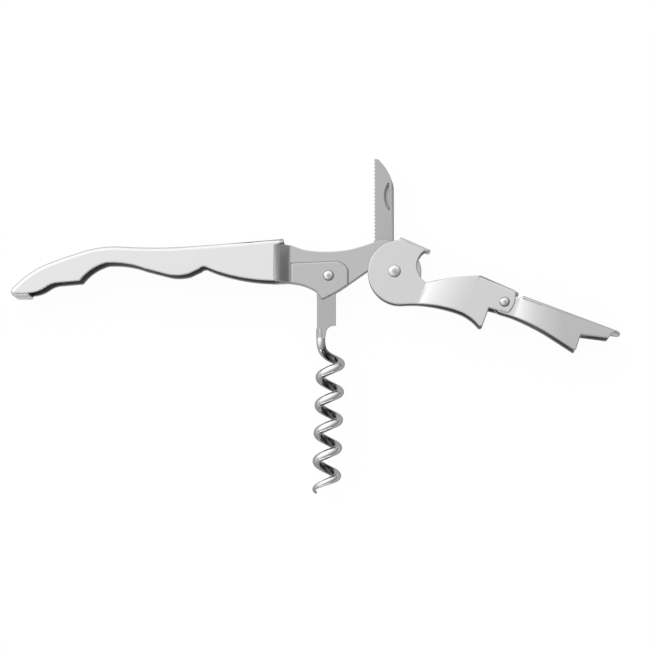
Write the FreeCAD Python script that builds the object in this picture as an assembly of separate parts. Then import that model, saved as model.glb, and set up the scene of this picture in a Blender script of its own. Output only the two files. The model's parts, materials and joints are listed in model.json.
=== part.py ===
import FreeCAD, Part
import math
import os

# A two-step lever corkscrew of stainless sheet, opened out and lying flat on its side.
# The handle points to -X, the knife to +Y, the worm to -Y and the lever to +X.
# While it is drawn, the main pivot is at X = Y = 0 and Z = 0 is the middle of the sheet layers.
# At the end every piece is moved, so that the origin is under the middle of the whole.

# Sheet and wire
SHEET = 1.0
WIDTH = 10.8
BEND = 1.3
KNIFE_THICK = 1.5
SHANK_THICK = 2.4
WIRE_DIAMETER = 2.64

# Clearance between layers, on each side
KNIFE_PLAY = 0.05
SHANK_PLAY = 0.1
EYE_PLAY = 0.4
EAR_PLAY = 0.1

# Levels above the middle plane that follow from them
PLATE_IN = KNIFE_THICK / 2 + KNIFE_PLAY
PLATE_OUT = PLATE_IN + SHEET
PAD_IN = SHANK_THICK / 2 + SHANK_PLAY
PAD_OUT = PAD_IN + SHEET
EYE_IN = PLATE_OUT + EYE_PLAY
EYE_OUT = EYE_IN + SHEET
SIDE_OUT = WIDTH / 2
SIDE_IN = SIDE_OUT - SHEET
EAR_OUT = SIDE_IN - EAR_PLAY
EAR_IN = EAR_OUT - SHEET

# Pivots: the worm's from the main pivot, the hinge's along and across the lever
WORM_PIVOT = (-19.4, -1.1)
HINGE_PIVOT = (33.15, 4.45)

# How far the two stages are opened in this pose, in degrees from +X
LEVER_ANGLE = -24.0
STAGE_ANGLE = -20.8

# Rivets, and the play of their shafts where a piece turns and where it is clenched
MAIN_RIVET_R = 1.2
MAIN_HEAD_R = 1.85
WORM_RIVET_R = 1.0
WORM_HEAD_R = 1.6
HINGE_RIVET_R = 0.95
HINGE_HEAD_R = 1.5
HEAD_RIM = 0.15
HEAD_DOME = 0.45
RUNNING_FIT = 0.05
CLENCHED_FIT = 0.01

# Handle: its back from the mouth to the nose
BACK_START = (-32.6, 9.55)
BACK_HEADING = (-1.0, -0.088)
BACK = ((-60.0, 7.4), (-80.0, 7.4), (-91.0, 6.2), (-101.0, 2.85), (-112.4, -4.85), (-111.4, -7.2))
NOSE_END = (-107.4, -7.25)

# Handle: its lower edge from the nose to the mouth, with two cusps that the claws fold beside
TAIL = (((-105.0, -5.85), (-102.4, -4.55)), ((-100.9, -3.7), (-98.5, -3.2)))
FIRST_CUSP = (-92.4, -2.7)
ARCH = (((-89.3, 0.4), (-84.7, 2.6)), ((-79.3, 2.4), (-73.3, 0.87)))
FINGER_START = (-67.7, -0.6)
FINGER = ((-63.6, -1.2), (-60.3, -0.7))
CUSP_RISE = (-57.2, 0.75)
SECOND_CUSP = ((-55.95, 1.38), (-54.9, 1.05))
BELLY_START = (-52.4, 0.05)
BELLY = ((-45.2, -1.85), (-36.0, -2.85))

# Frame: where the sides ramp in, and the outline of the two close plates
RAMP_START = -34.6
RAMP_BEND = 2.6
RIBBON_START = -36.0
RIBBON_TOP = 7.7
MOUTH_FOOT = (-34.0, -2.95)
RAMP_FOOT = (-30.5, -3.2)
CHIN_FALL = ((-26.3, -4.1), (-22.9, -5.8))
CHIN_LEFT = (-21.75, -7.55)
CHIN = ((-21.15, -8.0), (-20.45, -7.75))
CHIN_RIGHT = (-17.2, -6.05)
THROAT = ((-12.6, -3.0), (-7.9, 0.3))
PLATE_END_R = 7.9
SHOULDER_ANGLE = 95.0
SHOULDER_CORNER = (-1.1, 9.15)
SHOULDER = ((-3.2, 9.55), (-6.25, 8.7))
BROW = ((-9.5, 7.6), (-13.1, 6.65))
SADDLE = ((-20.2, 6.0), (-26.8, 6.6))
SADDLE_RISE = ((-28.7, 7.3), (-30.4, 7.95))
RAMP_TOP = (-31.4, 8.05)

# Raised pads on the plates, hollow inside, that make room for the worm's shank
PAD_LEFT = -30.6
PAD_TOP_LEFT = 2.75
PAD_TOP = ((-24.0, 2.95), (-17.4, 3.3))
PAD_CORNER = ((-14.9, 2.4), (-13.5, 0.5))
PAD_BEVEL = 0.35
RECESS = ((-32.2, -13.0), (-32.2, 2.55), (-16.5, 2.55), (-14.4, 0.6), (-14.4, -13.0))

# Lever, first stage, drawn along its own length with the main pivot at 0, 0
EYE_CENTRE = (1.65, 0.44)
EYE_R = 9.5
EYE_LEAVE = -62.0
HOOK_TOP = 10.1
HOOK_START = -2.5
HOOK_END = 7.15
HOOK_CORNER_R = 1.4
HOOK_WALL_END = 6.3
MOUTH_UPPER = ((4.9, 6.5), (5.05, 4.6))
MOUTH_LOWER = ((6.9, 2.05), (9.9, 0.66))
NECK_TOP = (16.3, 4.95)
CREASE = 9.95
NECK_END = 23.5
BLOCK_TOP = 8.9
BLOCK_START = 24.0
BLOCK_WALL_END = 34.5
BLOCK_END = ((35.95, 4.4), (35.4, 1.95))
STEP_ROOT = (29.65, 1.0)
CLAW_BACK = (29.98, -4.1)
CLAW_TIP = ((29.6, -4.8), (28.8, -4.8))
LEVER_WAIST = (21.5, -3.4)
TONGUE_END = 36.0
TONGUE_HALF = 3.2

# Lever, second stage, drawn along its own length with the hinge at 0, 0
EAR_R = 3.2
HEEL = 3.0
STAGE_TOP = 3.72
STAGE_START = 4.6
STAGE_SHOULDER = (2.7, 2.1)
STAGE_CREASE = 3.8
STAGE_RAMP_END = 12.0
STAGE_WALL_END = 32.5
STAGE_END = ((32.4, 2.1), (31.9, 0.67))
STAGE_TONGUE_END = 34.95
STAGE_STEP = (24.05, -1.15)
STAGE_CLAW_BACK = (24.25, -5.5)
STAGE_CLAW_TIP = ((24.1, -5.98), (23.6, -6.0))
STAGE_BELLY_START = (15.0, -4.1)
STAGE_BELLY = ((9.6, -3.3), (3.4, -3.0))

# Knife, upright, with the main pivot at 0, 0
BLADE_EDGE = -6.05
BLADE_BACK = -0.15
BLADE_TIP = (-5.8, 33.8)
BLADE_TIP_END = (-4.8, 33.75)
BLADE_CURVE = ((-2.1, 30.3), (-0.15, 25.2))
BLADE_BEVEL = 0.3
BLADE_ROOT = 8.9
BLADE_HEEL = 4.4
TANG_R = 4.2
TANG_NECK = ((0.5, 6.0), (2.75, 3.17))
EDGE_THICK = 0.45
BACK_STRIP = 0.7
TOOTH_PITCH = 1.1
TOOTH_DEPTH = 0.36
TOOTH_FIRST = 9.9
TOOTH_COUNT = 22
NICK_TOP = (-1.65, 26.6)
NICK_FOOT = (-1.35, 18.4)
NICK_BELLY = (-3.1, 22.6)
NICK_R = 6.35
NICK_DEPTH = 0.5
NICK_WALL = 0.9

# Worm, hanging from its own pivot at 0, 0: the flat shank, its stem and the helix
WORM_EYE_R = 2.1
SHANK_LEFT = -3.45
SHANK_RIGHT = 2.1
SHANK_SHOULDER = -3.1
SHANK_FOOT = -14.7
SHANK_EDGE = 0.35
STEM_CUT = ((-0.15, -15.3), (-0.75, -16.8))
STEM_RIGHT = -1.0
STEM_FOOT = -18.4
WIRE_START = (-2.35, -15.5)
BEND_START = -18.6
HELIX_TOP = (0.66, -21.8)
HELIX_R = 2.97
HELIX_PITCH = 8.2
HELIX_TURNS = 5.1
HELIX_TILT = 2.0
TAPER_START = 4.5
POINT_R = 0.4
POINT_FLARE = 0.75


def vec(x, y, z=0.0):
    return FreeCAD.Vector(x, y, z)


# A flat outline: "to" runs straight, "bow" is an arc through one point to another,
# and "flow" is a chain of arcs that each leave as the last one arrived
class Outline:
    def __init__(self, start):
        self.start = vec(*start)
        self.here = self.start
        self.edges = []

    def to(self, *points):
        for point in points:
            there = vec(*point)
            self.edges.append(Part.LineSegment(self.here, there).toShape())
            self.here = there
        return self

    def bow(self, through, end):
        there = vec(*end)
        self.edges.append(Part.Arc(self.here, vec(*through), there).toShape())
        self.here = there
        return self

    def flow(self, heading, *points):
        heading = vec(*heading).normalize()
        for point in points:
            chord = vec(*point) - self.here
            lean = math.atan2(heading.x * chord.y - heading.y * chord.x, heading.dot(chord))
            middle = self.here + chord * 0.5 + vec(chord.y, -chord.x) * (0.5 * math.tan(lean / 2))
            self.bow((middle.x, middle.y), point)
            turn = FreeCAD.Rotation(vec(0, 0, 1), math.degrees(2 * lean))
            heading = turn.multVec(heading)
        return self

    def face(self):
        self.to((self.start.x, self.start.y))
        return Part.Face(Part.Wire(self.edges))


def prism(face, low, high):
    slab = face.extrude(vec(0, 0, high - low))
    slab.translate(vec(0, 0, low))
    return slab


def box(x, y, z):
    return Part.makeBox(x[1] - x[0], y[1] - y[0], z[1] - z[0], vec(x[0], y[0], z[0]))


def pin(centre, radius, reach):
    return Part.makeCylinder(radius, 2 * reach, vec(centre[0], centre[1], -reach))


def mirrored(shape):
    return shape.mirror(vec(0, 0, 0), vec(0, 0, 1))


def joined(pieces):
    return pieces[0].fuse(list(pieces[1:])).removeSplitter()


def only_solid(shape):
    solids = shape.Solids
    if len(solids) != 1:
        print("  pieces:", len(solids), [round(s.Volume, 3) for s in solids])
    return max(solids, key=lambda solid: solid.Volume)


# Turns a section drawn as (along, level) into a sheet that is "reach" tall each way
def tall(section, reach):
    sheet = prism(section, -reach, reach)
    sheet.rotate(vec(0, 0, 0), vec(1, 0, 0), 90)
    return sheet


# The frame's side seen from above: a straight ramp inward between two rounded bends
def ramped_side(left, right, start, high, low, reach):
    miter = SHEET * math.tan(math.radians(22.5))
    foot = start + high - low
    section = Outline((left, high)).to((start - miter, high), (foot - miter, low), (right, low))
    section.to((right, low + SHEET), (foot, low + SHEET), (start, high + SHEET), (left, high + SHEET))
    side = tall(section.face(), reach)
    for radius, spots in ((RAMP_BEND, (start, foot - miter)), (RAMP_BEND - SHEET, (start - miter, foot))):
        bends = [e for e in side.Edges if e.BoundBox.YLength > reach and
                 min(abs(e.BoundBox.XMin - spot) for spot in spots) < SHEET / 100]
        side = side.makeFillet(radius, bends)
    return side


# A lever's side seen from above: creased, then easing outward to a higher level
def eased_side(crease, end, low, high, reach):
    inner_r = ((end - crease) ** 2 + (high - low) ** 2) / (2 * (high - low))
    centre = high - inner_r
    outer_r = inner_r + SHEET
    outer_crease = end - math.sqrt(outer_r ** 2 - (low + SHEET - centre) ** 2)

    def halfway(start, radius):
        lean = math.asin((end - start) / radius) / 2
        return end - radius * math.sin(lean), centre + radius * math.cos(lean)

    section = Outline((-reach, low)).to((crease, low)).bow(halfway(crease, inner_r), (end, high))
    section.to((reach, high), (reach, high + SHEET), (end, high + SHEET))
    section.bow(halfway(outer_crease, outer_r), (outer_crease, low + SHEET)).to((-reach, low + SHEET))
    return tall(section.face(), reach)


# What the outer bend takes off the square corners between a back at "top" and sides at "half"
def corner_waste(left, right, top, half):
    square = box((left, right), (top - BEND, top + BEND), (half - BEND, half + BEND))
    round_off = Part.makeCylinder(BEND, right - left, vec(left, top - BEND, half - BEND), vec(1, 0, 0))
    waste = square.cut(round_off)
    return [waste, mirrored(waste)]


# The back plate of a lever stage, with the corners of its free ends rounded in plan
def back_plate(left, right, top, half, left_r, right_r):
    plate = box((left, right), (top - SHEET, top), (-half, half))
    corners = {left: left_r, right: right_r}
    for side, radius in corners.items():
        if radius > 0:
            edges = [e for e in plate.Edges
                     if e.BoundBox.YLength > SHEET / 2 and abs(e.BoundBox.XMin - side) < 1e-6]
            plate = plate.makeFillet(radius, edges)
    return plate


def riveted(reach, shaft_r, head_r, centre):
    shaft = pin(centre, shaft_r, reach + HEAD_RIM / 2)
    ball_r = (head_r ** 2 + HEAD_DOME ** 2) / (2 * HEAD_DOME)
    rim = Part.makeCylinder(head_r, HEAD_RIM, vec(centre[0], centre[1], reach))
    ball = Part.makeSphere(ball_r, vec(centre[0], centre[1], reach + HEAD_RIM + HEAD_DOME - ball_r))
    cap = ball.common(Part.makeCylinder(head_r, HEAD_DOME, vec(centre[0], centre[1], reach + HEAD_RIM)))
    head = rim.fuse(cap)
    return only_solid(joined([shaft, head, mirrored(head)]))


# Handle and frame, folded from one sheet: channel, ramps, close plates and raised pads
def handle_channel():
    slope = BACK_HEADING[1] / BACK_HEADING[0]
    past_mouth = (BACK_START[0] + WIDTH, BACK_START[1] + slope * WIDTH)
    low = -4 * WIDTH
    face = (Outline(past_mouth).to(BACK_START).flow(BACK_HEADING, *BACK)
            .to(NOSE_END, (NOSE_END[0], low), (past_mouth[0], low)).face())
    block = prism(face, -SIDE_OUT, SIDE_OUT)
    rims = [e for e in block.Edges if e.BoundBox.ZLength < 1e-6 and e.BoundBox.YMin > NOSE_END[1] - SHEET / 2]
    block = block.makeFillet(BEND, rims)
    hollow = prism(Part.Face(face.OuterWire.makeOffset2D(-SHEET)), -SIDE_IN, SIDE_IN)
    return block.cut(hollow)


def handle_trim():
    ribbon_x = RIBBON_START + SHEET / 2
    high = BACK_START[1] + BEND
    left = BACK[-2][0] - BEND
    trim = Outline((BACK_START[0], high)).to((left, high), (left, NOSE_END[1] - BEND))
    trim.to((NOSE_END[0], NOSE_END[1] - BEND), (NOSE_END[0], NOSE_END[1] + SHEET))
    trim.bow(*TAIL[0]).bow(*TAIL[1]).to(FIRST_CUSP).bow(*ARCH[0]).bow(*ARCH[1]).to(FINGER_START)
    trim.bow(*FINGER).to(CUSP_RISE).bow(*SECOND_CUSP).to(BELLY_START).bow(*BELLY)
    trim.to((ribbon_x, BELLY[1][1]), (ribbon_x, RIBBON_TOP))
    trim.to((BACK_START[0], BACK_START[1] - BEND))
    return prism(trim.face(), -WIDTH, WIDTH)


def plate_outline():
    angle = math.radians(SHOULDER_ANGLE)
    foot = (PLATE_END_R * math.cos(angle), PLATE_END_R * math.sin(angle))
    edge = Outline(BELLY[1]).to(MOUTH_FOOT, RAMP_FOOT).bow(*CHIN_FALL).to(CHIN_LEFT)
    edge.bow(*CHIN).to(CHIN_RIGHT).bow(*THROAT).bow((0, -PLATE_END_R), (PLATE_END_R, 0))
    edge.bow((PLATE_END_R * math.sqrt(0.5), PLATE_END_R * math.sqrt(0.5)), foot)
    edge.to(SHOULDER_CORNER).bow(*SHOULDER).bow(*BROW).bow(*SADDLE).bow(*SADDLE_RISE)
    edge.to(RAMP_TOP, (RAMP_START, RAMP_TOP[1]), (RIBBON_START, RIBBON_TOP))
    return edge.face()


def pad(outline):
    low = -3 * PLATE_END_R
    edge = Outline((PAD_LEFT, low)).to((PAD_LEFT, PAD_TOP_LEFT)).bow(*PAD_TOP).bow(*PAD_CORNER)
    face = edge.to((PAD_CORNER[1][0], low)).face()
    rim = face.OuterWire.copy()
    top = rim.makeOffset2D(-PAD_BEVEL, 2)
    rim.translate(vec(0, 0, PAD_OUT - PAD_BEVEL))
    top.translate(vec(0, 0, PAD_OUT))
    boss = prism(face, PLATE_IN, PAD_OUT - PAD_BEVEL).fuse(Part.makeLoft([rim, top], True, True))
    return boss.common(prism(outline, 0, WIDTH))


def handle_frame():
    outline = plate_outline()
    side = ramped_side(RIBBON_START, PLATE_END_R + SHEET, RAMP_START, SIDE_IN, PLATE_IN, 3 * PLATE_END_R)
    side = side.common(prism(outline, 0, WIDTH))
    side = side.fuse(pad(outline))
    recess = prism(Outline(RECESS[0]).to(*RECESS[1:]).face(), 0, PAD_IN)
    side = side.cut(recess)
    channel = handle_channel().common(handle_trim())
    frame = joined([channel, side, mirrored(side)])
    frame = frame.cut([pin((0, 0), MAIN_RIVET_R + RUNNING_FIT, WIDTH),
                       pin(WORM_PIVOT, WORM_RIVET_R + CLENCHED_FIT, WIDTH)])
    return only_solid(frame)


# Lever, first stage: two eyes, the cap hook, an open neck and the block that holds the hinge
def first_stage_outline():
    leave = math.radians(EYE_LEAVE)
    leave_point = (EYE_CENTRE[0] + EYE_R * math.cos(leave), EYE_CENTRE[1] + EYE_R * math.sin(leave))
    hook_foot = EYE_CENTRE[1] + math.sqrt(EYE_R ** 2 - (HOOK_START - EYE_CENTRE[0]) ** 2)
    edge = Outline((HOOK_START, HOOK_TOP)).to((HOOK_START, hook_foot))
    edge.bow((EYE_CENTRE[0] - EYE_R, EYE_CENTRE[1]), leave_point)
    edge.flow((-math.sin(leave), math.cos(leave)), LEVER_WAIST, CLAW_TIP[1])
    edge.bow(CLAW_TIP[0], CLAW_BACK).to(STEP_ROOT, BLOCK_END[1])
    edge.bow(BLOCK_END[0], (BLOCK_WALL_END, BLOCK_TOP)).to((BLOCK_START, BLOCK_TOP))
    edge.bow(NECK_TOP, MOUTH_LOWER[1]).bow(MOUTH_LOWER[0], MOUTH_UPPER[1])
    edge.bow(MOUTH_UPPER[0], (HOOK_WALL_END, HOOK_TOP))
    return edge.face()


def lever_first_stage():
    reach = TONGUE_END + SHEET
    side = eased_side(CREASE, NECK_END, EYE_IN, SIDE_IN, reach)
    side = side.common(prism(first_stage_outline(), 0, WIDTH))
    hook = back_plate(HOOK_START, HOOK_END, HOOK_TOP, EYE_OUT, 0, HOOK_CORNER_R)
    block = back_plate(BLOCK_START, BLOCK_WALL_END, BLOCK_TOP, SIDE_OUT, 0, 0)
    tongue = back_plate(BLOCK_START, TONGUE_END, BLOCK_TOP, TONGUE_HALF, 0, TONGUE_END - BLOCK_WALL_END)
    lever = joined([side, mirrored(side), hook, block, tongue])
    waste = corner_waste(HOOK_START - SHEET, HOOK_END + SHEET, HOOK_TOP, EYE_OUT)
    waste += corner_waste(NECK_END, TONGUE_END + SHEET, BLOCK_TOP, SIDE_OUT)
    holes = [pin((0, 0), MAIN_RIVET_R + CLENCHED_FIT, WIDTH),
             pin(HINGE_PIVOT, HINGE_RIVET_R + CLENCHED_FIT, WIDTH)]
    return only_solid(lever.cut(waste + holes))


# Lever, second stage: ears inside the block, then a channel with its own claw and a finger tab
def second_stage_outline():
    heel_turn = FreeCAD.Rotation(vec(0, 0, 1), LEVER_ANGLE - STAGE_ANGLE)
    heel = [heel_turn.multVec(vec(*p)) for p in ((0, EAR_R), (-HEEL, EAR_R), (-HEEL, 0))]
    edge = Outline((heel[0].x, heel[0].y)).to((heel[1].x, heel[1].y), (heel[2].x, heel[2].y))
    edge.bow((-EAR_R * math.sqrt(0.5), -EAR_R * math.sqrt(0.5)), (0, -EAR_R))
    edge.to(STAGE_BELLY[1]).bow(STAGE_BELLY[0], STAGE_BELLY_START).to(STAGE_CLAW_TIP[1])
    edge.bow(STAGE_CLAW_TIP[0], STAGE_CLAW_BACK).to(STAGE_STEP, STAGE_END[1])
    edge.bow(STAGE_END[0], (STAGE_WALL_END, STAGE_TOP)).to((STAGE_START, STAGE_TOP), STAGE_SHOULDER)
    return edge.face()


def lever_second_stage():
    reach = STAGE_TONGUE_END + SHEET
    side = eased_side(STAGE_CREASE, STAGE_RAMP_END, EAR_IN, SIDE_IN, reach)
    side = side.common(prism(second_stage_outline(), 0, WIDTH))
    back = back_plate(STAGE_START, STAGE_WALL_END, STAGE_TOP, SIDE_OUT, 0, 0)
    tab = Part.makeCylinder(SIDE_OUT, SHEET, vec(0, 0, 0), vec(0, 1, 0))
    squash = FreeCAD.Matrix()
    squash.scale((STAGE_TONGUE_END - STAGE_WALL_END) / SIDE_OUT, 1, 1)
    tab = tab.transformGeometry(squash)
    tab.translate(vec(STAGE_WALL_END, STAGE_TOP - SHEET, 0))
    lever = joined([side, mirrored(side), back, tab])
    waste = corner_waste(STAGE_START - SHEET, reach, STAGE_TOP, SIDE_OUT)
    return only_solid(lever.cut(waste + [pin((0, 0), HINGE_RIVET_R + RUNNING_FIT, WIDTH)]))


# Foil knife: tang between the plates, tapered blade with fine teeth and a nail nick
def knife_blade():
    edge = Outline((BLADE_EDGE, BLADE_HEEL)).to((BLADE_EDGE, BLADE_TIP[1] - BLADE_BEVEL), BLADE_TIP)
    edge.to(BLADE_TIP_END).bow(*BLADE_CURVE).to((BLADE_BACK, BLADE_ROOT)).bow(*TANG_NECK)
    edge.bow((0, -TANG_R), (-TANG_R, 0))
    blade = prism(edge.face(), -KNIFE_THICK / 2, KNIFE_THICK / 2)
    low, high = BLADE_ROOT, BLADE_TIP[1] + SHEET
    half, thin = KNIFE_THICK / 2, EDGE_THICK / 2
    ridge = BLADE_BACK - BACK_STRIP
    slope = (half - thin) / (ridge - BLADE_EDGE)
    waste = []
    past_edge, past_back = BLADE_EDGE - SHEET, BLADE_BACK + SHEET
    for points in (((ridge, half), (past_edge, thin - slope * SHEET), (past_edge, KNIFE_THICK)),
                   ((ridge, half), (past_back, half - BACK_STRIP * 0.8), (past_back, KNIFE_THICK))):
        corners = [vec(x, low, z) for x, z in points]
        wedge = Part.Face(Part.makePolygon(corners + corners[:1])).extrude(vec(0, high - low, 0))
        waste += [wedge, mirrored(wedge)]
    scallop_r = (TOOTH_PITCH ** 2 / 4 + TOOTH_DEPTH ** 2) / (2 * TOOTH_DEPTH)
    for index in range(TOOTH_COUNT):
        y = TOOTH_FIRST + index * TOOTH_PITCH
        waste.append(pin((BLADE_EDGE + TOOTH_DEPTH - scallop_r, y), scallop_r, KNIFE_THICK))
    waste += [nail_nick(half - slope * (ridge - NICK_BELLY[0])), pin((0, 0), MAIN_RIVET_R + RUNNING_FIT, WIDTH)]
    return only_solid(blade.cut(waste))


# The nick's crescent wall leans, and its right side is straight; "level" is the face at its belly
def nail_nick(level):
    lean = NICK_WALL / NICK_DEPTH
    rise = KNIFE_THICK - level
    centre = vec(NICK_BELLY[0] + NICK_R, NICK_BELLY[1], level - NICK_DEPTH)
    bowl = Part.makeCone(NICK_R - NICK_WALL, NICK_R + rise * lean, NICK_DEPTH + rise, centre)
    left = BLADE_EDGE - SHEET
    side = Outline(NICK_TOP).to((left, NICK_TOP[1]), (left, NICK_FOOT[1]), NICK_FOOT).face()
    return bowl.common(prism(side, -KNIFE_THICK, KNIFE_THICK))


# Worm: wire path as tangent arcs, two for every quarter turn
def biarc(start, leaving, end, arriving):
    span = end - start
    both = leaving + arriving
    a = 4.0 - both.dot(both)
    b = 2 * span.dot(both)
    reach = (-b + math.sqrt(b * b + 4 * a * span.dot(span))) / (2 * a)
    meet = (start + leaving * reach + end - arriving * reach) * 0.5
    return [arc_from(start, leaving, meet), arc_from(end, arriving * -1, meet)]


def arc_from(start, leaving, end):
    chord = end - start
    across = chord - leaving * chord.dot(leaving)
    lean = math.atan2(across.Length, chord.dot(leaving))
    outward = (leaving * chord.Length - chord * math.cos(lean)).normalize()
    return start, start + chord * 0.5 + outward * (0.5 * chord.Length * math.tan(lean / 2)), end


# Where the wire is after so many turns, and which way it runs; its point leans outward
def helix_point(turns):
    tilt = FreeCAD.Rotation(vec(0, 0, 1), -HELIX_TILT)
    angle = 2 * math.pi * turns
    tapered = HELIX_TURNS - TAPER_START
    done = max(0.0, turns - TAPER_START) / tapered
    radius = HELIX_R + POINT_FLARE * done ** 2
    growth = 2 * POINT_FLARE * done / tapered
    around = 2 * math.pi * radius
    place = vec(-radius * math.cos(angle), -HELIX_PITCH * turns, -radius * math.sin(angle))
    run = vec(around * math.sin(angle) - growth * math.cos(angle), -HELIX_PITCH,
              -around * math.cos(angle) - growth * math.sin(angle))
    return vec(*HELIX_TOP) + tilt.multVec(place), tilt.multVec(run.normalize())


# The even part of the wire and the tapered part, stopping at each quarter turn and at the point
def wire_arcs():
    stops = [0.25 * n for n in range(1, int(4 * HELIX_TURNS) + 1)] + [HELIX_TURNS]
    even, tapered = [], []
    here, heading = vec(WIRE_START[0], BEND_START), vec(0, -1)
    for turns in stops:
        there, arriving = helix_point(turns)
        first, second = biarc(here, heading, there, arriving)
        part = tapered if turns > TAPER_START else even
        part += [first, second[::-1]]
        here, heading = there, arriving
    return even, tapered


def tube(path_edges, radii):
    path = Part.Wire(path_edges)
    first, last = path_edges[0], path_edges[-1]
    rings = []
    for edge, at_start, radius in ((first, True, radii[0]), (last, False, radii[1])):
        spot = edge.firstVertex(True).Point if at_start else edge.lastVertex(True).Point
        along = edge.tangentAt(edge.FirstParameter if at_start else edge.LastParameter)
        rings.append(Part.Wire(Part.makeCircle(radius, spot, along)))
        if radii[0] == radii[1]:
            break
    return path.makePipeShell(rings, True, False)


def report_least_gap(arcs):
    points = []
    for arc in arcs:
        curve = Part.Arc(*arc)
        points += [curve.value(curve.FirstParameter + (curve.LastParameter - curve.FirstParameter) * k / 6)
                   for k in range(6)]
    walk = [0.0]
    for one, two in zip(points, points[1:]):
        walk.append(walk[-1] + (two - one).Length)
    least = min((a - b).Length for i, a in enumerate(points) for j, b in enumerate(points[:i])
                if walk[i] - walk[j] > 3 * WIRE_DIAMETER)
    print("worm wire: length %.1f mm, least gap between turns %.2f mm" % (walk[-1], least - WIRE_DIAMETER))


def worm():
    wire_r = WIRE_DIAMETER / 2
    edge = Outline((-WORM_EYE_R, 0)).bow((0, WORM_EYE_R), (WORM_EYE_R, 0)).to((SHANK_RIGHT, SHANK_FOOT))
    edge.bow(*STEM_CUT).to((STEM_RIGHT, STEM_FOOT), (SHANK_LEFT, STEM_FOOT), (SHANK_LEFT, SHANK_SHOULDER))
    half = SHANK_THICK / 2
    shank = prism(edge.face(), -half, half)
    left = [e for e in shank.Edges if e.BoundBox.ZLength < 1e-6 and e.BoundBox.XMax < SHANK_LEFT + 1e-3]
    shank = shank.makeFillet(SHANK_EDGE, left)
    even, tapered = wire_arcs()
    report_least_gap(even + tapered)
    even = [Part.Arc(*arc).toShape() for arc in even]
    tapered = [Part.Arc(*arc).toShape() for arc in tapered]
    straight = Part.LineSegment(vec(*WIRE_START), even[0].Vertexes[0].Point).toShape()
    body = tube([straight] + even, (wire_r, wire_r))
    point = tube(tapered, (wire_r, POINT_R))
    whole = joined([shank, body, point]).cut(pin((0, 0), WORM_RIVET_R + RUNNING_FIT, WIDTH))
    return only_solid(whole)


def placed(shape, angle, pivot):
    moved = shape.copy()
    moved.rotate(vec(0, 0, 0), vec(0, 0, 1), angle)
    moved.translate(vec(*pivot))
    return moved


def build():
    turn = FreeCAD.Rotation(vec(0, 0, 1), LEVER_ANGLE)
    hinge = turn.multVec(vec(*HINGE_PIVOT))
    hinge_at = (hinge.x, hinge.y)
    nodes = {
        "handle_frame": handle_frame(),
        "lever_first_stage": placed(lever_first_stage(), LEVER_ANGLE, (0, 0)),
        "lever_second_stage": placed(lever_second_stage(), STAGE_ANGLE, hinge_at),
        "knife_blade": knife_blade(),
        "worm": placed(worm(), 0, WORM_PIVOT),
        "main_rivet": riveted(EYE_OUT, MAIN_RIVET_R, MAIN_HEAD_R, (0, 0)),
        "worm_rivet": riveted(PAD_OUT, WORM_RIVET_R, WORM_HEAD_R, WORM_PIVOT),
        "hinge_rivet": riveted(SIDE_OUT, HINGE_RIVET_R, HINGE_HEAD_R, hinge_at),
    }
    bounds = Part.makeCompound(list(nodes.values())).optimalBoundingBox(False, False)
    origin = vec((bounds.XMin + bounds.XMax) / 2, (bounds.YMin + bounds.YMax) / 2, bounds.ZMin)
    print("overall %.2f x %.2f x %.2f mm" % (bounds.XLength, bounds.YLength, bounds.ZLength))
    for name, spot in (("main", (0, 0)), ("worm", WORM_PIVOT), ("hinge", hinge_at)):
        print("%s pivot at %.4f, %.4f, middle plane %.4f mm" % (
            name, spot[0] - origin.x, spot[1] - origin.y, -origin.z))
    for name, shape in nodes.items():
        shape.translate(origin * -1)
        shape.exportStep("parts/" + name + ".step")
        print("%-20s %8.1f mm3 valid %s" % (name, shape.Volume, shape.isValid()))


os.makedirs("parts", exist_ok=True)
build()
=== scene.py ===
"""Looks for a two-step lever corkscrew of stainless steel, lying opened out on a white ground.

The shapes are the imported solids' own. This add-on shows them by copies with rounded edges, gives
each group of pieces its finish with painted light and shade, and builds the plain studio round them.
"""

import json
import math

import bmesh
import bpy
from mathutils import Matrix, Vector
from mathutils.bvhtree import BVHTree


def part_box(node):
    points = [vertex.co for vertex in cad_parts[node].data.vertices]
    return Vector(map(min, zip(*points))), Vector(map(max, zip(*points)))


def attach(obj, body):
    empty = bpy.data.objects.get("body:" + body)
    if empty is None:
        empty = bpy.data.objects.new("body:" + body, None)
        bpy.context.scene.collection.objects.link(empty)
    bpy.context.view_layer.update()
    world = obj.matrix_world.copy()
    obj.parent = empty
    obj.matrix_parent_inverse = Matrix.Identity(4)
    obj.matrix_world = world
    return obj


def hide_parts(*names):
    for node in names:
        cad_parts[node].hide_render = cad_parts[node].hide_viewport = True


bl_info = {
    "name": "Lever Corkscrew Looks",
    "version": (1, 0, 0),
    "blender": (4, 5, 0),
    "location": "3D View > Sidebar > Corkscrew",
    "description": "Finishes, edge rounding, light and camera for a two-step lever corkscrew",
    "category": "Object",
}

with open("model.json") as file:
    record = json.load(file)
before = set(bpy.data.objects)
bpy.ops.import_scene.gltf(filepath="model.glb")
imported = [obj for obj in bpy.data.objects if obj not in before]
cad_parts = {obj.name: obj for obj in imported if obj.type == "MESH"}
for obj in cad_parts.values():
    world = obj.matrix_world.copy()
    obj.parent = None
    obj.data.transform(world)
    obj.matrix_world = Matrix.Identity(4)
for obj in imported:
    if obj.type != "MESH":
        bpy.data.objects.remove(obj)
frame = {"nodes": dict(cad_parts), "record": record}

MM = 0.001

HANDLE = "handle_frame"
FIRST_STAGE = "lever_first_stage"
SECOND_STAGE = "lever_second_stage"
KNIFE = "knife_blade"
WORM = "worm"
RIVETS = ("main_rivet", "worm_rivet", "hinge_rivet")
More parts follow.
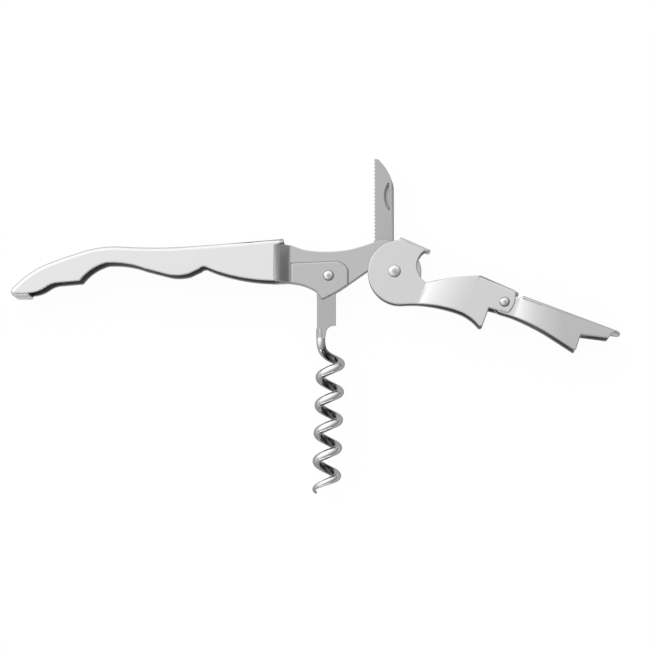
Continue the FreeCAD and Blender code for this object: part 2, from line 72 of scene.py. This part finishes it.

# Where a piece's grey turns to a darker one that is painted shade: from the main rivet back to the close
# plates' start, from the hinge rivet out along the second stage, and from the worm's rivet down to its
# shank's foot
PLATES_START = 34.0 * MM
STAGE_BRIGHT_TO = 4.5 * MM
STAGE_SHADED_FROM = 17.0 * MM
SHANK_FOOT = 18.5 * MM
BORDER = 0.5 * MM

# The coil's axis is found from the wire this far below the shank's foot
COIL_BELOW = 10.0 * MM

# Edges: which are rounded, and the shares of the sheet's rounding that the finer pieces get
SHARP_FROM = math.radians(32)
SLIVER = 0.03 * MM
FLAT_WITHIN = math.radians(0.3)
EDGE_SEGMENTS = 3
KNIFE_SHARE = 0.35
WORM_SHARE = 0.4
RIVET_EDGE = 0.08 * MM

# Points closer than the seam are one. A rounded point goes back to the solid's surface when it lies
# further off than a share of the rounding, or stands proud of it.
SEAM = 0.01 * MM
STRAY_SHARE = 0.5
PROUD = 0.01 * MM

# How much a face's size counts against its corner in the smooth shading, where 50 is evenly
FACE_WEIGHT = 50

# Painted light: how bright the metal is painted by how far it faces outwards, for sheet, round wire and
# rivet domes. It paints shade on sides, insides, lower edges and the coil's inner side, and a highlight
# ring on the domes
BACK_LEAST = 0.3
SHEET_PAINTED_SHADE = ((0.0, 0.42), (BACK_LEAST, 0.33), (0.78, 1.0))
WIRE_PAINTED_LIGHT = ((0.2, 0.1), (0.6, 0.45), (0.85, 1.0))
DOME_PAINTED_LIGHT = ((0.3, 0.2), (0.88, 0.35), (0.93, 1.0), (0.97, 1.0), (0.99, 0.6))

# The wire is painted fully in shade where it faces the coil's axis at this cosine or more
SHADED_INWARD = 0.8

# Each metal's grain: how often its lines repeat in a metre along X, Y and Z, and their relief
HANDLE_GRAIN = ((300, 9000, 9000), 0.25)
LEVER_GRAIN = ((500, 6000, 6000), 0.15)
KNIFE_GRAIN = ((9000, 500, 9000), 0.1)
WORM_GRAIN = ((800, 800, 800), 0.02)
RIVET_GRAIN = ((2500, 2500, 2500), 0.1)
GRAIN_HEIGHT = 0.02 * MM

# Roughness: how much duller the knife is, how much the polished pieces vary, and the smoothest
KNIFE_DULLER = 0.05
WORM_DEPTH = 0.04
RIVET_DEPTH = 0.08
SMOOTHEST = 0.02

# The room's bright side, and its light by the cosine to that side, where overhead is about 1
BRIGHT_SIDE = (-0.6, 0.65, 0.466)
ROOM_LIGHT = (
    (-0.6, 0.3),
    (-0.2, 0.35),
    (0.1, 0.5),
    (0.3, 0.8),
    (0.47, 1.0),
    (0.56, 1.0),
    (0.66, 1.05),
    (0.76, 1.25),
    (0.88, 1.35),
)

# The lamps' places and sizes, in metres, and the point that they face
KEY_PLACE = (-0.55, 0.35, 0.6)
KEY_SIZE = (0.2, 0.2)
RIMS_PLACE = (0.0, -0.6, 0.12)
RIMS_SIZE = (0.8, 0.1)
LAMP_AIM = (0.0, 0.0, 0.0)

# The ground, and the light that an open floor of albedo 1 gives back
FLOOR_SIZE = 4.0
FLOOR_ALBEDO = 0.9
LIT_SHARE = 0.8

# The camera's place and the point that it looks at, in millimetres from the main rivet
CAMERA_PLACE = (1.6, -96.4, 760.0)
CAMERA_AIM = (-20.5, -15.5, 0.0)


# Settings


class FinishSettings(bpy.types.PropertyGroup):
    """Steel finishes, whose greys partly stand in for light and shade, and the rounding of cut edges"""

    handle: bpy.props.FloatVectorProperty(
        name="Handle", description="Metal of the handle", subtype="COLOR", default=(0.75, 0.75, 0.75)
    )
    # The close plates' darker grey is painted shade
    plates: bpy.props.FloatVectorProperty(
        name="Plates", description="Metal of the close plates", subtype="COLOR", default=(0.5, 0.5, 0.5)
    )
    # The two stages' different greys are painted light and shade on one steel, and the second stage's far
    # end is painted darker as shade
    first_stage: bpy.props.FloatVectorProperty(
        name="First Stage",
        description="Metal of the lever's first stage",
        subtype="COLOR",
        default=(0.65, 0.65, 0.65),
    )
    second_stage: bpy.props.FloatVectorProperty(
        name="Second Stage",
        description="Metal of the second stage near its hinge",
        subtype="COLOR",
        default=(0.73, 0.73, 0.73),
    )
    stage_end_shade: bpy.props.FloatVectorProperty(
        name="Stage End",
        description="Metal of the second stage's far end",
        subtype="COLOR",
        default=(0.52, 0.52, 0.52),
    )
    knife: bpy.props.FloatVectorProperty(
        name="Knife", description="Metal of the knife", subtype="COLOR", default=(0.41, 0.41, 0.41)
    )
    # The wire's light grey, with its ramp, paints highlights on the coil; the shank's darker grey is
    # painted shade
    wire: bpy.props.FloatVectorProperty(
        name="Wire", description="Metal of the worm's wire", subtype="COLOR", default=(0.85, 0.85, 0.85)
    )
    shank: bpy.props.FloatVectorProperty(
        name="Shank", description="Metal of the worm's shank", subtype="COLOR", default=(0.43, 0.43, 0.43)
    )
    rivets: bpy.props.FloatVectorProperty(
        name="Rivets", description="Metal of the rivets", subtype="COLOR", default=(0.75, 0.75, 0.75)
    )
    satin: bpy.props.FloatProperty(
        name="Satin", description="Roughness of the pressed sheet", default=0.3, min=0.05, max=0.8
    )
    polish: bpy.props.FloatProperty(
        name="Polish",
        description="Roughness of the worm and the rivet domes",
        default=0.12,
        min=0.02,
        max=0.5,
    )
    brush_depth: bpy.props.FloatProperty(
        name="Brush Depth",
        description="How much the brushing lines vary the roughness",
        default=0.1,
        min=0.0,
        max=0.4,
    )
    edge: bpy.props.FloatProperty(
        name="Edge Radius",
        description="Rounding of the tumbled sheet edges",
        default=0.3 * MM,
        min=0.0,
        max=0.5 * MM,
        unit="LENGTH",
        subtype="DISTANCE",
    )


class StudioSettings(bpy.types.PropertyGroup):
    """Camera, lights and ground"""

    lens: bpy.props.FloatProperty(
        name="Lens", description="Focal length on a 36 mm sensor", default=144.0, min=20.0, max=300.0
    )
    key_power: bpy.props.FloatProperty(
        name="Key Power", description="Watts of the light on the left", default=0.5, min=0.0, max=50.0
    )
    rim_power: bpy.props.FloatProperty(
        name="Rim Power",
        description="Watts of the low strip at the worm's end",
        default=0.6,
        min=0.0,
        max=50.0,
    )
    room: bpy.props.FloatProperty(
        name="Room", description="Brightness of the soft light overhead", default=1.0, min=0.0, max=5.0
    )
    shadow: bpy.props.FloatProperty(
        name="Shadow",
        description="How much of the object's shadow the ground keeps",
        default=0.06,
        min=0.0,
        max=1.0,
    )


# Materials


def node(tree, kind, label="", **values):
    """Adds a shader node and sets its inputs and properties by name."""
    made = tree.nodes.new(kind)
    made.label = label
    for name, value in values.items():
        key = name.replace("_", " ").title()
        if key in made.inputs:
            made.inputs[key].default_value = value
        else:
            setattr(made, name, value)
    return made


def set_greys(ramp, steps):
    """Sets a colour ramp's stops to grey levels at their places."""
    stops = ramp.color_ramp.elements
    while len(stops) < len(steps):
        stops.new(0.5)
    for stop, (place, level) in zip(stops, steps):
        stop.position = place
        stop.color = (level,) * 3 + (1.0,)


def steel(name, color, roughness, depth, grain, painted_light=SHEET_PAINTED_SHADE, shaded_beyond=None):
    """A metal whose roughness varies by "depth" along the fine lines of its grain.

    Its colour is multiplied by a ramp over the piece's "facing" attribute, which paints light and shade.
    Where a border is given as an axis, two places and a colour, the metal turns to that darker colour
    between the places, which is painted shade.
    """
    repeats, relief = grain
    material = bpy.data.materials.new(name)
    material.use_nodes = True
    tree = material.node_tree
    shader = tree.nodes["Principled BSDF"]
    shader.inputs["Metallic"].default_value = 1.0
    place = node(tree, "ShaderNodeTexCoord", "Place on the piece")
    spread = node(tree, "ShaderNodeMapping", "Brushing direction", scale=repeats)
    lines = node(tree, "ShaderNodeTexNoise", "Brushing lines", scale=1.0, detail=3.0, roughness=0.6)
    level = node(
        tree,
        "ShaderNodeMapRange",
        "Roughness range",
        to_min=max(SMOOTHEST, roughness - depth / 2),
        to_max=roughness + depth / 2,
    )
    raised = node(tree, "ShaderNodeBump", "Brushing relief", strength=relief, distance=GRAIN_HEIGHT)
    tree.links.new(place.outputs["Object"], spread.inputs["Vector"])
    tree.links.new(spread.outputs["Vector"], lines.inputs["Vector"])
    tree.links.new(lines.outputs["Fac"], level.inputs["Value"])
    tree.links.new(level.outputs["Result"], shader.inputs["Roughness"])
    tree.links.new(lines.outputs["Fac"], raised.inputs["Height"])
    tree.links.new(raised.outputs["Normal"], shader.inputs["Normal"])
    # Painted light and shade: the colour is multiplied by a ramp over how far each point faces outwards
    facing = node(tree, "ShaderNodeAttribute", "How far it faces outwards", attribute_name="facing")
    darker = node(tree, "ShaderNodeValToRGB", "Darker sides")
    set_greys(darker, painted_light)
    tinted = node(tree, "ShaderNodeVectorMath", "Colour by side", operation="MULTIPLY")
    tinted.inputs[0].default_value = color
    tree.links.new(facing.outputs["Fac"], darker.inputs["Fac"])
    tree.links.new(darker.outputs["Color"], tinted.inputs[1])
    tree.links.new(tinted.outputs["Vector"], shader.inputs["Base Color"])
    # Painted shade: beyond a border the colour turns to a darker grey
    if shaded_beyond:
        axis, start, end, shaded_color = shaded_beyond
        split = node(tree, "ShaderNodeSeparateXYZ")
        beyond = node(tree, "ShaderNodeMapRange", "Beyond the border", from_min=start, from_max=end)
        tint = node(tree, "ShaderNodeMix", data_type="RGBA")
        tint.inputs["A"].default_value = (*color, 1.0)
        tint.inputs["B"].default_value = (*shaded_color, 1.0)
        tree.links.new(place.outputs["Object"], split.inputs["Vector"])
        tree.links.new(split.outputs[axis], beyond.inputs["Value"])
        tree.links.new(beyond.outputs["Result"], tint.inputs["Factor"])
        tree.links.new(tint.outputs["Result"], tinted.inputs[0])
    return material


def dress(piece, material):
    """Puts a material on a piece."""
    piece.data.materials.append(material)


# Rounded copies


def middle(name):
    """The middle of a CAD node's box."""
    low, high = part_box(name)
    return (Vector(low) + Vector(high)) / 2


def broad_normal(point):
    """The direction that a point's faces have in common, the largest counting most."""
    total = sum((face.normal * face.calc_area() for face in point.link_faces), Vector())
    return total.normalized()


def upward(point):
    """How far a point faces straight up or down."""
    return abs(broad_normal(point).z)


def folded_sheet(plates_from):
    """How brightly a folded sheet is painted: its insides and lower cut edges get painted shade.

    Beyond the place "plates_from" its two plates lie close, and their insides aren't painted darker.
    """
    middle_z = middle("main_rivet").z

    def facing(point):
        normal = broad_normal(point)
        inside = (point.co.z - middle_z) * normal.z < 0 and point.co.x < plates_from
        if inside:
            return 0.0
        return abs(normal.z) if normal.y < 0 else max(abs(normal.z), BACK_LEAST)

    return facing


def outward_from_coil(stem):
    """How far a point of the worm faces out of its coil, which hangs below the height "stem"; wire facing
    the axis gets painted shade.
    """
    points = frame["nodes"][WORM].data.vertices
    coil = [point.co.x for point in points if point.co.y < stem - COIL_BELOW]
    axis_x = (min(coil) + max(coil)) / 2
    axis_z = middle(WORM).z

    def facing(point):
        if point.co.y > stem:
            return upward(point)
        away = Vector((point.co.x - axis_x, 0.0, point.co.z - axis_z)).normalized()
        return min(upward(point), SHADED_INWARD + away.dot(broad_normal(point)))

    return facing


def is_outer(edge):
    """True for a sharp outward edge between two faces of which neither is a sliver."""
    if len(edge.link_faces) != 2 or edge.calc_face_angle_signed() < SHARP_FROM:
        return False
    thinnest = min(2 * face.calc_area() / edge.calc_length() for face in edge.link_faces)
    return thinnest > SLIVER


def round_edges(form, width):
    """Rounds a merged mesh's outer edges and keeps every point on or inside its first surface."""
    surface = BVHTree.FromBMesh(form)
    bmesh.ops.remove_doubles(form, verts=form.verts, dist=SEAM)
    bmesh.ops.dissolve_degenerate(form, edges=form.edges, dist=SEAM)
    bmesh.ops.dissolve_limit(form, angle_limit=FLAT_WITHIN, verts=form.verts, edges=form.edges)
    bmesh.ops.bevel(
        form,
        geom=[edge for edge in form.edges if is_outer(edge)],
        offset=width,
        offset_type="OFFSET",
        segments=EDGE_SEGMENTS,
        profile=0.5,
        affect="EDGES",
    )
    for point in form.verts:
        near, normal, _, gap = surface.find_nearest(point.co)
        if gap > STRAY_SHARE * width or (point.co - near).dot(normal) > PROUD:
            point.co = near
    bmesh.ops.remove_doubles(form, verts=form.verts, dist=SEAM)
    form.normal_update()


def tumbled(name, width, facing=upward):
    """A copy of a CAD node, whose outer edges are rounded as tumbling leaves them.

    The "facing" attribute of each point is what "facing" gives for it.
    """
    form = bmesh.new()
    form.from_mesh(frame["nodes"][name].data)
    round_edges(form, width)
    layer = form.verts.layers.float.new("facing")
    for point in form.verts:
        point[layer] = facing(point)
    for face in form.faces:
        face.smooth = True
    mesh = bpy.data.meshes.new(name + "_tumbled")
    form.to_mesh(mesh)
    form.free()
    piece = bpy.data.objects.new(name + "_tumbled", mesh)
    bpy.context.scene.collection.objects.link(piece)
    shade = piece.modifiers.new("Flat flats", "WEIGHTED_NORMAL")
    shade.weight = FACE_WEIGHT
    bodies = frame["record"]["behaviour"]["bodies"]
    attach(piece, next(body for body, nodes in bodies.items() if name in nodes))
    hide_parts(name)
    return piece


# Operators


class FinishHandle(bpy.types.Operator):
    """Give the handle its brushed steel, with its close plates painted darker as shade"""

    bl_idname = "corkscrew.finish_handle"
    bl_label = "Finish Handle"

    def execute(self, context):
        look = context.scene.corkscrew_finish
        border = middle("main_rivet").x - PLATES_START
        # The plates' darker grey beyond the border is painted shade
        plates = ("X", border, border + BORDER, look.plates)
        metal = steel("Handle steel", look.handle, look.satin, look.brush_depth, HANDLE_GRAIN, shaded_beyond=plates)
        dress(tumbled(HANDLE, look.edge, folded_sheet(border)), metal)
        return {"FINISHED"}


class FinishLevers(bpy.types.Operator):
    """Give both lever stages their satin steel, with painted shade on the second stage's far end"""

    bl_idname = "corkscrew.finish_levers"
    bl_label = "Finish Levers"

    def execute(self, context):
        look = context.scene.corkscrew_finish
        hinge = middle("hinge_rivet").x
        # The second stage's far end is painted darker as shade
        shaded_end = ("X", hinge + STAGE_BRIGHT_TO, hinge + STAGE_SHADED_FROM, look.stage_end_shade)
        satin = (look.satin, look.brush_depth, LEVER_GRAIN)
        first = steel("First stage steel", look.first_stage, *satin)
        second = steel("Second stage steel", look.second_stage, *satin, shaded_beyond=shaded_end)
        for name, metal in ((FIRST_STAGE, first), (SECOND_STAGE, second)):
            dress(tumbled(name, look.edge, folded_sheet(math.inf)), metal)
        return {"FINISHED"}


class FinishKnife(bpy.types.Operator):
    """Give the knife its fine satin steel"""

    bl_idname = "corkscrew.finish_knife"
    bl_label = "Finish Knife"

    def execute(self, context):
        look = context.scene.corkscrew_finish
        metal = steel("Knife steel", look.knife, look.satin + KNIFE_DULLER, look.brush_depth, KNIFE_GRAIN)
        dress(tumbled(KNIFE, look.edge * KNIFE_SHARE), metal)
        return {"FINISHED"}


class FinishWorm(bpy.types.Operator):
    """Give the worm its polished chrome, with painted shade inside its coil and on its shank"""

    bl_idname = "corkscrew.finish_worm"
    bl_label = "Finish Worm"

    def execute(self, context):
        look = context.scene.corkscrew_finish
        foot = middle("worm_rivet").y - SHANK_FOOT
        # The shank's darker grey beyond its foot is painted shade
        shank = ("Y", foot, foot + BORDER, look.shank)
        metal = steel("Worm chrome", look.wire, look.polish, WORM_DEPTH, WORM_GRAIN, WIRE_PAINTED_LIGHT, shank)
        dress(tumbled(WORM, look.edge * WORM_SHARE, outward_from_coil(foot)), metal)
        return {"FINISHED"}


class FinishRivets(bpy.types.Operator):
    """Give the rivets their polished domes"""

    bl_idname = "corkscrew.finish_rivets"
    bl_label = "Finish Rivets"

    def execute(self, context):
        look = context.scene.corkscrew_finish
        # The domes' ramp paints a bright highlight ring, a slightly darker top and a shaded rim
        metal = steel("Rivet steel", look.rivets, look.polish, RIVET_DEPTH, RIVET_GRAIN, DOME_PAINTED_LIGHT)
        for name in RIVETS:
            dress(tumbled(name, RIVET_EDGE), metal)
        return {"FINISHED"}


def area_light(name, place, size, power):
    """A soft oblong light at a place, which faces the object."""
    data = bpy.data.lights.new(name, "AREA")
    data.shape = "RECTANGLE"
    data.size, data.size_y = size
    data.energy = power
    lamp = bpy.data.objects.new(name, data)
    lamp.location = place
    lamp.rotation_euler = (Vector(LAMP_AIM) - Vector(place)).to_track_quat("-Z", "Y").to_euler()
    bpy.context.scene.collection.objects.link(lamp)


def soft_room(world, strength):
    """A soft light from overhead and the upper left that leaves the lower right dim."""
    world.use_nodes = True
    tree = world.node_tree
    tree.nodes.clear()
    out = node(tree, "ShaderNodeOutputWorld")
    way = node(tree, "ShaderNodeTexCoord", "Direction")
    near = node(tree, "ShaderNodeVectorMath", "Cosine to the bright side", operation="DOT_PRODUCT")
    near.inputs[1].default_value = BRIGHT_SIDE
    level = node(tree, "ShaderNodeMapRange", "From 0 to 1", from_min=-1.0)
    brightest = ROOM_LIGHT[-1][1]
    fade = node(tree, "ShaderNodeValToRGB", "Light by side")
    set_greys(fade, [((place + 1) / 2, light / brightest) for place, light in ROOM_LIGHT])
    lit = node(tree, "ShaderNodeBackground", "Room", strength=strength * brightest)
    tree.links.new(way.outputs["Generated"], near.inputs[0])
    tree.links.new(near.outputs["Value"], level.inputs["Value"])
    tree.links.new(level.outputs["Result"], fade.inputs["Fac"])
    tree.links.new(fade.outputs["Color"], lit.inputs["Color"])
    tree.links.new(lit.outputs[0], out.inputs["Surface"])


class BuildStudio(bpy.types.Operator):
    """Add the white ground, the soft lights and the camera"""

    bl_idname = "corkscrew.build_studio"
    bl_label = "Build Studio"

    def execute(self, context):
        scene = context.scene
        studio = scene.corkscrew_studio
        self.ground(studio)
        self.lights(studio)
        self.camera(scene, studio)
        scene.world = scene.world or bpy.data.worlds.new("Studio")
        soft_room(scene.world, studio.room)
        scene.view_settings.view_transform = "Standard"
        return {"FINISHED"}

    def ground(self, studio):
        """A floor that shows white to the camera and keeps a faint shadow."""
        bpy.ops.mesh.primitive_plane_add(size=FLOOR_SIZE, location=(0, 0, 0))
        floor = bpy.context.object
        floor.name = "Ground"
        material = bpy.data.materials.new("White ground")
        material.use_nodes = True
        tree = material.node_tree
        tree.nodes.clear()
        out = node(tree, "ShaderNodeOutputMaterial")
        plain = node(tree, "ShaderNodeBsdfDiffuse", "Plain floor", color=(FLOOR_ALBEDO,) * 3 + (1,))
        faint = node(tree, "ShaderNodeBsdfDiffuse", "Kept shadow", color=(studio.shadow,) * 3 + (1,))
        glow = node(tree, "ShaderNodeEmission", "White", strength=1.0 - studio.shadow * LIT_SHARE)
        white = node(tree, "ShaderNodeAddShader")
        path = node(tree, "ShaderNodeLightPath")
        tree.links.new(faint.outputs[0], white.inputs[0])
        tree.links.new(glow.outputs[0], white.inputs[1])
        seen = path.outputs["Is Camera Ray"]
        for ray in ("Is Glossy Ray", "Is Transmission Ray"):
            either = node(tree, "ShaderNodeMath", operation="MAXIMUM")
            tree.links.new(seen, either.inputs[0])
            tree.links.new(path.outputs[ray], either.inputs[1])
            seen = either.outputs[0]
        mix = node(tree, "ShaderNodeMixShader")
        tree.links.new(seen, mix.inputs[0])
        tree.links.new(plain.outputs[0], mix.inputs[1])
        tree.links.new(white.outputs[0], mix.inputs[2])
        tree.links.new(mix.outputs[0], out.inputs["Surface"])
        floor.data.materials.append(material)

    def lights(self, studio):
        """A small light from the upper left for the glints and a low strip for the lower rims."""
        area_light("Key", KEY_PLACE, KEY_SIZE, studio.key_power)
        area_light("Rims", RIMS_PLACE, RIMS_SIZE, studio.rim_power)

    def camera(self, scene, studio):
        """The photograph's viewpoint, almost straight down and a little from the worm's end."""
        pivot = middle("main_rivet")
        place = pivot + Vector(CAMERA_PLACE) * MM
        target = pivot + Vector(CAMERA_AIM) * MM
        back = (place - target).normalized()
        right = Vector((0, 1, 0)).cross(back).normalized()
        up = back.cross(right)
        data = bpy.data.cameras.new("Photograph")
        data.lens = studio.lens
        data.clip_start = 0.01
        eye = bpy.data.objects.new("Photograph", data)
        turn = Matrix((right, up, back)).transposed().to_4x4()
        eye.matrix_world = Matrix.Translation(place) @ turn
        scene.collection.objects.link(eye)
        scene.camera = eye


# Panel


class CorkscrewPanel(bpy.types.Panel):
    """Buttons and settings for the corkscrew's looks"""

    bl_label = "Corkscrew"
    bl_idname = "VIEW3D_PT_corkscrew"
    bl_space_type = "VIEW_3D"
    bl_region_type = "UI"
    bl_category = "Corkscrew"

    def draw(self, context):
        layout = self.layout
        for settings in (context.scene.corkscrew_finish, context.scene.corkscrew_studio):
            for name in settings.__annotations__:
                layout.prop(settings, name)
        for action in ACTIONS:
            layout.operator(action.bl_idname)


ACTIONS = (FinishHandle, FinishLevers, FinishKnife, FinishWorm, FinishRivets, BuildStudio)
CLASSES = (FinishSettings, StudioSettings, *ACTIONS, CorkscrewPanel)


def register():
    for item in CLASSES:
        bpy.utils.register_class(item)
    bpy.types.Scene.corkscrew_finish = bpy.props.PointerProperty(type=FinishSettings)
    bpy.types.Scene.corkscrew_studio = bpy.props.PointerProperty(type=StudioSettings)


def unregister():
    del bpy.types.Scene.corkscrew_studio
    del bpy.types.Scene.corkscrew_finish
    for item in reversed(CLASSES):
        bpy.utils.unregister_class(item)


def main():
    """Runs every operator."""
    register()
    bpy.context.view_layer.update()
    bpy.ops.corkscrew.finish_handle()
    bpy.ops.corkscrew.finish_levers()
    bpy.ops.corkscrew.finish_knife()
    bpy.ops.corkscrew.finish_worm()
    bpy.ops.corkscrew.finish_rivets()
    bpy.ops.corkscrew.build_studio()


if __name__ == "__main__":
    main()
